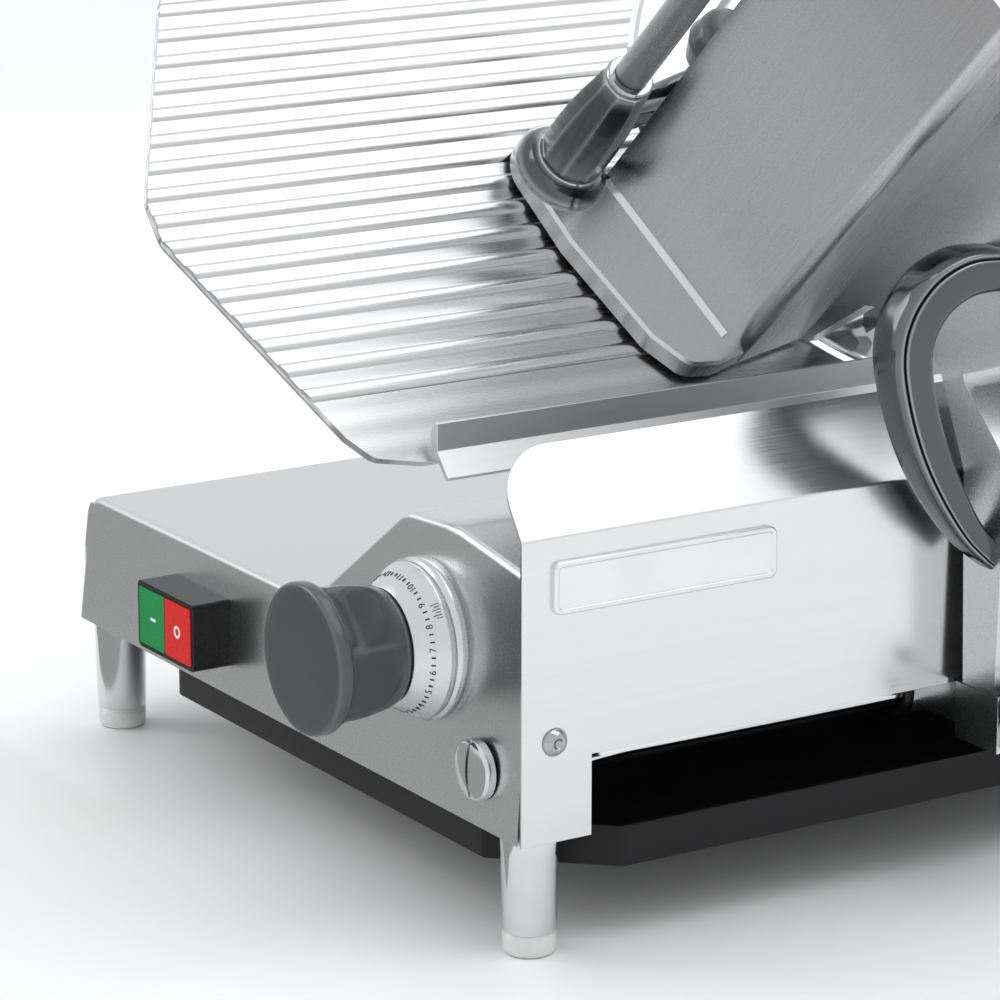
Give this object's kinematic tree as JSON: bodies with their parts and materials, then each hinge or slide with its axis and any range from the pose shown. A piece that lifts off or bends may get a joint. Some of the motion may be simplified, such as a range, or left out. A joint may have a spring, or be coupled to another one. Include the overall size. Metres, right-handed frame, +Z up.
{
  "type": "deli meat slicer",
  "caption": "Gravity-feed deli slicer: hollow base on feet, tilted round blade, ribbed gauge plate set by a dial knob, and a sliding meat tray with handle and pusher.",
  "frame": {"origin": "centre of the bounding box at rest, at the underside of the feet", "axes": "+X the operator's right (carriage side), +Y away from the operator, along the carriage travel, +Z up"},
  "size_m": [0.5126, 0.581, 0.494],
  "materials": {
    "cast_aluminium": "satin anodised",
    "steel_sheet": "fine brushed",
    "polished_aluminium": "polished",
    "bright_steel": "polished",
    "ground_steel": "ground",
    "black_pan": "black powder coat",
    "black_plastic": "moulded",
    "grey_plastic": "moulded dark grey",
    "green_plastic": "moulded",
    "red_plastic": "moulded",
    "clear_rubber": "translucent",
    "belt_rubber": "ribbed",
    "blade_steel": "ground and polished",
    "stone": "abrasive",
    "motor_paint": "enamel",
    "brass": "turned"
  },
  "bodies": {
    "base": {"base_casting": "cast_aluminium", "side_panel": "steel_sheet", "base_screws": "bright_steel", "base_cover": "black_pan", "cover_screws": "bright_steel", "foot_posts": "polished_aluminium", "foot_pads": "clear_rubber", "switch_housing": "black_plastic", "badge_plate": "steel_sheet", "carriage_rod": "bright_steel", "rod_end_caps": "bright_steel", "guide_bar": "ground_steel", "dial_index_ring": "cast_aluminium", "gauge_guide_rod": "ground_steel", "gauge_guide_bracket": "cast_aluminium", "front_rail": "steel_sheet", "blade_housing": "cast_aluminium", "ring_guard": "polished_aluminium", "bearings": "ground_steel", "blade_cover": "polished_aluminium", "slice_deflector": "steel_sheet", "drive_belt": "belt_rubber", "motor_body": "motor_paint", "cable_gland": "black_plastic", "sharpener_pin": "ground_steel"},
    "start": {"start_button": "green_plastic"},
    "stop": {"stop_button": "red_plastic"},
    "knob_set": {"knob": "grey_plastic", "dial_ring": "cast_aluminium", "knob_shaft": "ground_steel", "thickness_cam": "brass"},
    "gauge": {"gauge_plate": "polished_aluminium", "gauge_arm": "cast_aluminium"},
    "blade_set": {"blade": "blade_steel", "blade_hub": "cast_aluminium", "blade_shaft": "ground_steel", "blade_screws": "bright_steel"},
    "motor_rotor": {"motor_shaft": "ground_steel", "motor_pulley": "cast_aluminium"},
    "cover_knob_set": {"cover_tie_rod": "bright_steel", "cover_knob": "black_plastic"},
    "sharpener": {"sharpener_body": "cast_aluminium"},
    "grinder": {"grind_spindle": "bright_steel"},
    "grinder_stone": {"grinding_stone": "stone"},
    "honer": {"hone_spindle": "bright_steel"},
    "honer_stone": {"honing_stone": "stone"},
    "carriage": {"carriage_block": "cast_aluminium", "rod_wiper": "black_plastic", "tilt_pin": "ground_steel"},
    "lock": {"lock_knob": "black_plastic"},
    "tray": {"carriage_leg": "cast_aluminium", "meat_tray": "polished_aluminium", "tray_screws": "bright_steel", "carriage_handle": "grey_plastic", "rod_socket": "grey_plastic", "pusher_rod": "bright_steel"},
    "pusher_carrier": {"pusher_collar": "grey_plastic"},
    "pusher": {"pusher_hub": "grey_plastic", "pusher_plate": "polished_aluminium", "pusher_knob": "black_plastic"}
  },
  "joints": [
    {"name": "carriage_slide", "type": "slide", "parent": "base", "child": "carriage", "axis": [0, 1, 0], "range_m": [-0.165, 0.115]},
    {"name": "tray_tilt", "type": "hinge", "parent": "carriage", "child": "tray", "pos_m": [0.20774, 0.0375, 0.094], "axis": [0, 1, 0], "range_deg": [0, 50]},
    {"name": "lock_turn", "type": "hinge", "parent": "carriage", "child": "lock", "pos_m": [0.21674, 0.0375, 0.074], "axis": [1, 0, 0], "range_deg": [0, 360]},
    {"name": "pusher_slide", "type": "slide", "parent": "tray", "child": "pusher_carrier", "axis": [0.7431, 0, 0.6691], "range_m": [0, 0.12]},
    {"name": "pusher_swing", "type": "hinge", "parent": "pusher_carrier", "child": "pusher", "pos_m": [0.03228, -0.0835, 0.35277], "axis": [0.7431, 0, 0.6691], "range_deg": [0, 100]},
    {"name": "knob_turn", "type": "hinge", "parent": "base", "child": "knob_set", "pos_m": [0.08174, -0.2195, 0.128], "axis": [0, 1, 0], "range_deg": [0, 290]},
    {"name": "gauge_slide", "type": "slide", "parent": "base", "child": "gauge", "axis": [-0.7431, 0, -0.6691], "range_m": [0, 0.015]},
    {"name": "blade_spin", "type": "hinge", "parent": "base", "child": "blade_set", "pos_m": [-0.03119, 0.1305, 0.3037], "axis": [0.7431, 0, 0.6691], "continuous": true},
    {"name": "motor_spin", "type": "hinge", "parent": "base", "child": "motor_rotor", "pos_m": [0.09849, 0.1305, 0.1298], "axis": [0.7431, 0, 0.6691], "continuous": true},
    {"name": "cover_knob_turn", "type": "hinge", "parent": "base", "child": "cover_knob_set", "pos_m": [-0.09064, 0.1305, 0.25017], "axis": [0.7431, 0, 0.6691], "range_deg": [0, 360]},
    {"name": "sharpener_flip", "type": "hinge", "parent": "base", "child": "sharpener", "pos_m": [-0.1638, 0.1305, 0.3673], "axis": [0, -1, 0], "range_deg": [0, 105]},
    {"name": "grind_press", "type": "slide", "parent": "sharpener", "child": "grinder", "axis": [0.7431, 0, 0.6691], "range_m": [0, 0.003], "stiffness_N_per_m": 400, "springref_m": -0.001},
    {"name": "grind_spin", "type": "hinge", "parent": "grinder", "child": "grinder_stone", "pos_m": [-0.13311, 0.1305, 0.39897], "axis": [0.7431, 0, 0.6691], "continuous": true},
    {"name": "hone_press", "type": "slide", "parent": "sharpener", "child": "honer", "axis": [-0.7431, 0, -0.6691], "range_m": [0, 0.002], "stiffness_N_per_m": 400, "springref_m": -0.001},
    {"name": "hone_spin", "type": "hinge", "parent": "honer", "child": "honer_stone", "pos_m": [-0.11602, 0.1305, 0.41436], "axis": [0.7431, 0, 0.6691], "continuous": true},
    {"name": "start_press", "type": "slide", "parent": "base", "child": "start", "axis": [0, 1, 0], "range_m": [0, 0.0025], "stiffness_N_per_m": 400},
    {"name": "stop_press", "type": "slide", "parent": "base", "child": "stop", "axis": [0, 1, 0], "range_m": [0, 0.0025], "stiffness_N_per_m": 400}
  ],
  "couplings": [
    {"joint": "gauge_slide", "follows": "knob_turn", "m_per_rad": 0.0029636},
    {"joint": "motor_spin", "follows": "blade_spin", "ratio": 3.125}
  ]
}
